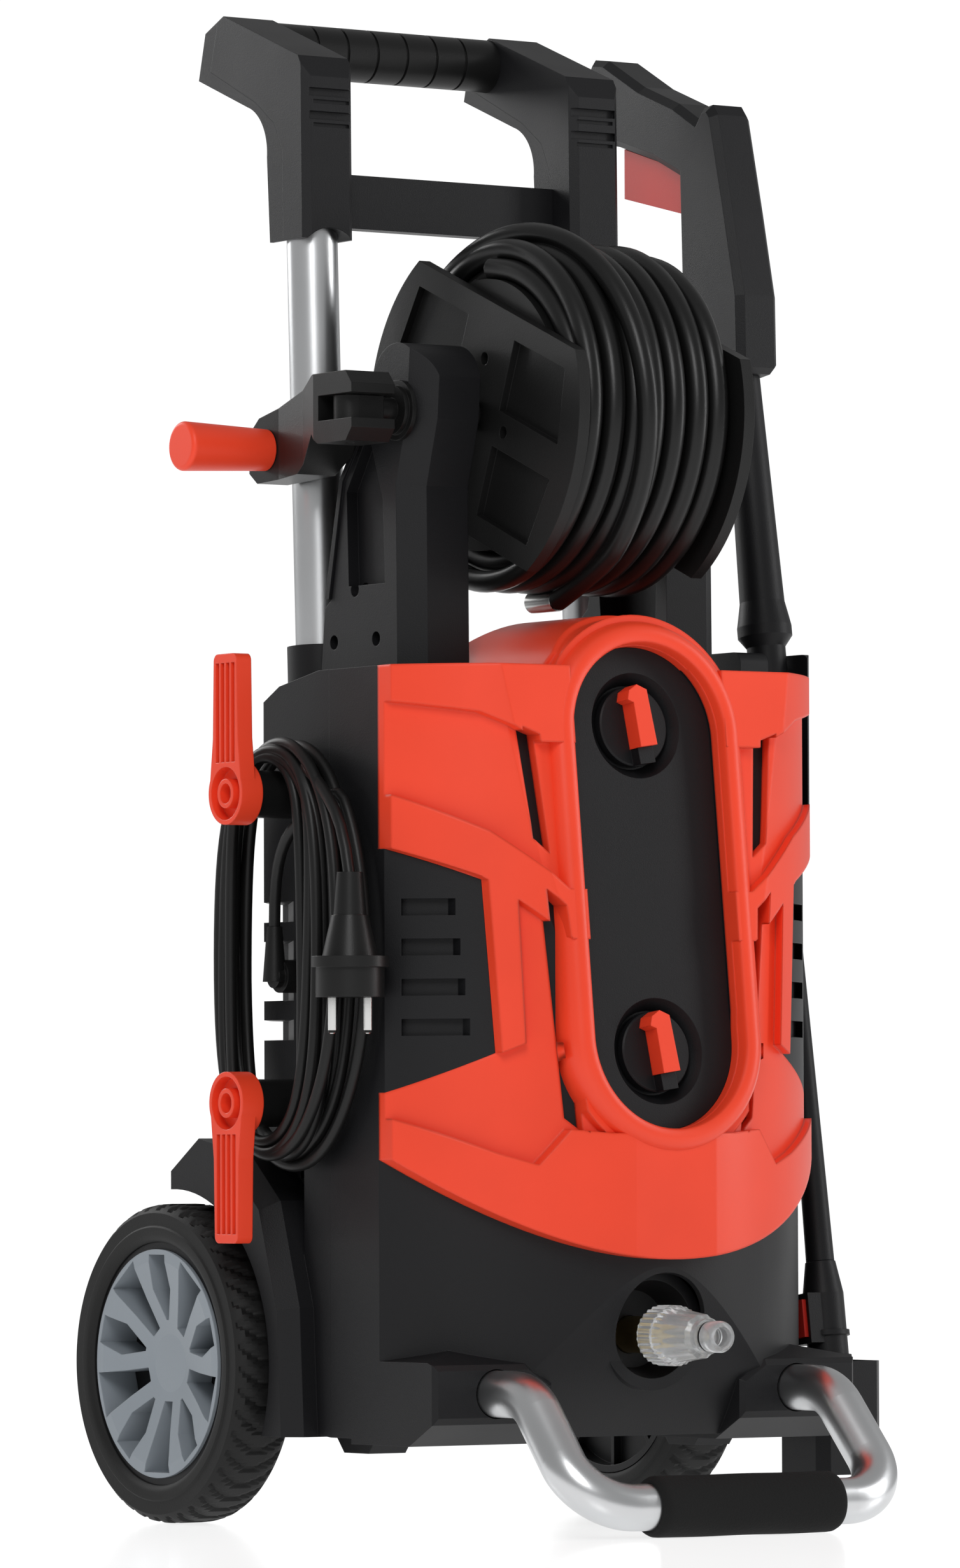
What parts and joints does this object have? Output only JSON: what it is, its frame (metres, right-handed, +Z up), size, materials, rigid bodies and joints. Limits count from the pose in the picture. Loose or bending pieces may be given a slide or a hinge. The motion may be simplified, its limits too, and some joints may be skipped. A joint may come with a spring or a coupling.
{
  "type": "pressure washer",
  "caption": "Upright electric pressure washer on two wheels, with telescopic handle, crank hose reel, front foot bar, cord hooks and a stowed spray gun.",
  "frame": {"origin": "middle of the footprint's bounding box, on the floor, measured without the cord, plug and hose", "axes": "+Z up, front of the machine towards -Y, +X to the right seen from the front"},
  "size_m": [0.3814, 0.4206, 0.842],
  "materials": {
    "black_plastic": "fine moulded grain",
    "orange_plastic": "fine moulded grain, satin",
    "red_plastic": "satin",
    "anodised_tube": "satin anodised",
    "foam": "closed-cell foam",
    "steel": "zinc plated",
    "stator": "laminated",
    "brass": "machined",
    "pump": "die cast",
    "clear": "clear polycarbonate",
    "grey_rim": "satin",
    "tyre": "moulded rubber",
    "hose_rubber": "smooth",
    "cord_rubber": "smooth"
  },
  "bodies": {
    "housing": {"front_shell": "black_plastic", "rear_shell": "black_plastic", "front_fascia": "orange_plastic", "control_panel": "black_plastic", "under_feet": "black_plastic", "hook_posts": "black_plastic", "leg_tube": "anodised_tube", "foam_grip": "foam", "tube_collars": "black_plastic", "reel_arm_left": "black_plastic", "reel_arm_right": "black_plastic", "arm_screws": "steel", "wheel_axle": "steel", "lance_bucket": "black_plastic", "lance_holster": "black_plastic", "inlet_stub": "brass", "inlet_connector": "clear", "motor_stator": "stator", "pump_head": "pump", "switch_box": "black_plastic", "cord_relief": "black_plastic", "cord_hank": "cord_rubber", "power_cord": "cord_rubber", "power_plug": "cord_rubber"},
    "left_wheel": {"left_rim": "black_plastic", "left_wheel_cover": "grey_rim", "left_tyre": "tyre"},
    "right_wheel": {"right_rim": "black_plastic", "right_wheel_cover": "grey_rim", "right_tyre": "tyre"},
    "rotor": {"rotor_shaft": "steel", "cooling_fan": "black_plastic"},
    "handle": {"handle_tube_left": "anodised_tube", "handle_tube_right": "anodised_tube", "handle_head_left_front": "black_plastic", "handle_head_left_rear": "black_plastic", "handle_head_right_front": "black_plastic", "handle_head_right_rear": "black_plastic", "handle_grip_bar": "black_plastic", "handle_crossbar": "black_plastic"},
    "reel": {"reel_flange_left": "black_plastic", "reel_flange_right": "black_plastic", "reel_drum": "black_plastic", "reel_spindle": "black_plastic", "reel_hose": "hose_rubber", "hose_fitting": "steel"},
    "crank": {"crank_arm": "black_plastic", "crank_pin": "steel"},
    "crank_handle": {"crank_grip": "orange_plastic"},
    "upper_knob": {"upper_knob": "black_plastic", "upper_knob_pointer": "orange_plastic"},
    "lower_knob": {"lower_knob": "black_plastic", "lower_knob_pointer": "orange_plastic"},
    "upper_hook": {"upper_cord_hook": "orange_plastic"},
    "lower_hook": {"lower_cord_hook": "orange_plastic"},
    "gun": {"gun_body": "black_plastic", "lance_tube": "black_plastic"},
    "trigger": {"gun_trigger": "red_plastic"},
    "nozzle": {"lance_nozzle": "black_plastic"},
    "nozzle_release": {"nozzle_button": "red_plastic"}
  },
  "joints": [
    {"name": "left_wheel_spin", "type": "hinge", "parent": "housing", "child": "left_wheel", "pos_m": [-0.1563, 0.12225, 0.088], "axis": [1, 0, 0], "continuous": true},
    {"name": "right_wheel_spin", "type": "hinge", "parent": "housing", "child": "right_wheel", "pos_m": [0.1457, 0.12225, 0.088], "axis": [1, 0, 0], "continuous": true},
    {"name": "motor_spin", "type": "hinge", "parent": "housing", "child": "rotor", "pos_m": [-0.0053, 0.01225, 0.2], "axis": [0, 0, 1], "continuous": true},
    {"name": "handle_slide", "type": "slide", "parent": "housing", "child": "handle", "axis": [0, 0.0366, 0.9993], "range_m": [-0.19, 0]},
    {"name": "reel_turn", "type": "hinge", "parent": "housing", "child": "reel", "pos_m": [-0.0053, -0.02775, 0.607], "axis": [1, 0, 0], "continuous": true},
    {"name": "crank_fold", "type": "hinge", "parent": "reel", "child": "crank", "pos_m": [-0.1433, -0.02775, 0.607], "axis": [0, 0, 1], "range_deg": [0, 90]},
    {"name": "crank_grip_spin", "type": "hinge", "parent": "crank", "child": "crank_handle", "pos_m": [-0.1653, 0.06925, 0.591], "axis": [1, 0, 0], "continuous": true},
    {"name": "upper_knob_turn", "type": "hinge", "parent": "housing", "child": "upper_knob", "pos_m": [-0.0053, -0.09417, 0.43443], "axis": [0, -0.9936, 0.1132], "range_deg": [-90, 60]},
    {"name": "lower_knob_turn", "type": "hinge", "parent": "housing", "child": "lower_knob", "pos_m": [-0.0053, -0.11432, 0.25757], "axis": [0, -0.9936, 0.1132], "range_deg": [-90, 60]},
    {"name": "upper_hook_turn", "type": "hinge", "parent": "housing", "child": "upper_hook", "pos_m": [-0.1833, 0.02725, 0.399], "axis": [1, 0, 0], "range_deg": [0, 180]},
    {"name": "lower_hook_turn", "type": "hinge", "parent": "housing", "child": "lower_hook", "pos_m": [-0.1833, 0.02725, 0.231], "axis": [1, 0, 0], "range_deg": [-180, 0]},
    {"name": "gun_lift", "type": "slide", "parent": "housing", "child": "gun", "axis": [0, 0.1392, 0.9903], "range_m": [0, 0.06]},
    {"name": "trigger_pull", "type": "hinge", "parent": "gun", "child": "trigger", "pos_m": [0.1687, 0.07625, 0.752], "axis": [1, 0, 0], "range_deg": [0, 9], "stiffness_Nm_per_rad": 1.2},
    {"name": "nozzle_turn", "type": "hinge", "parent": "gun", "child": "nozzle", "pos_m": [0.1687, -0.03275, 0.112], "axis": [0, 0.1392, 0.9903], "range_deg": [-40, 40]},
    {"name": "nozzle_release_press", "type": "slide", "parent": "nozzle", "child": "nozzle_release", "axis": [1, 0, 0], "range_m": [0, 0.002], "stiffness_N_per_m": 800}
  ]
}
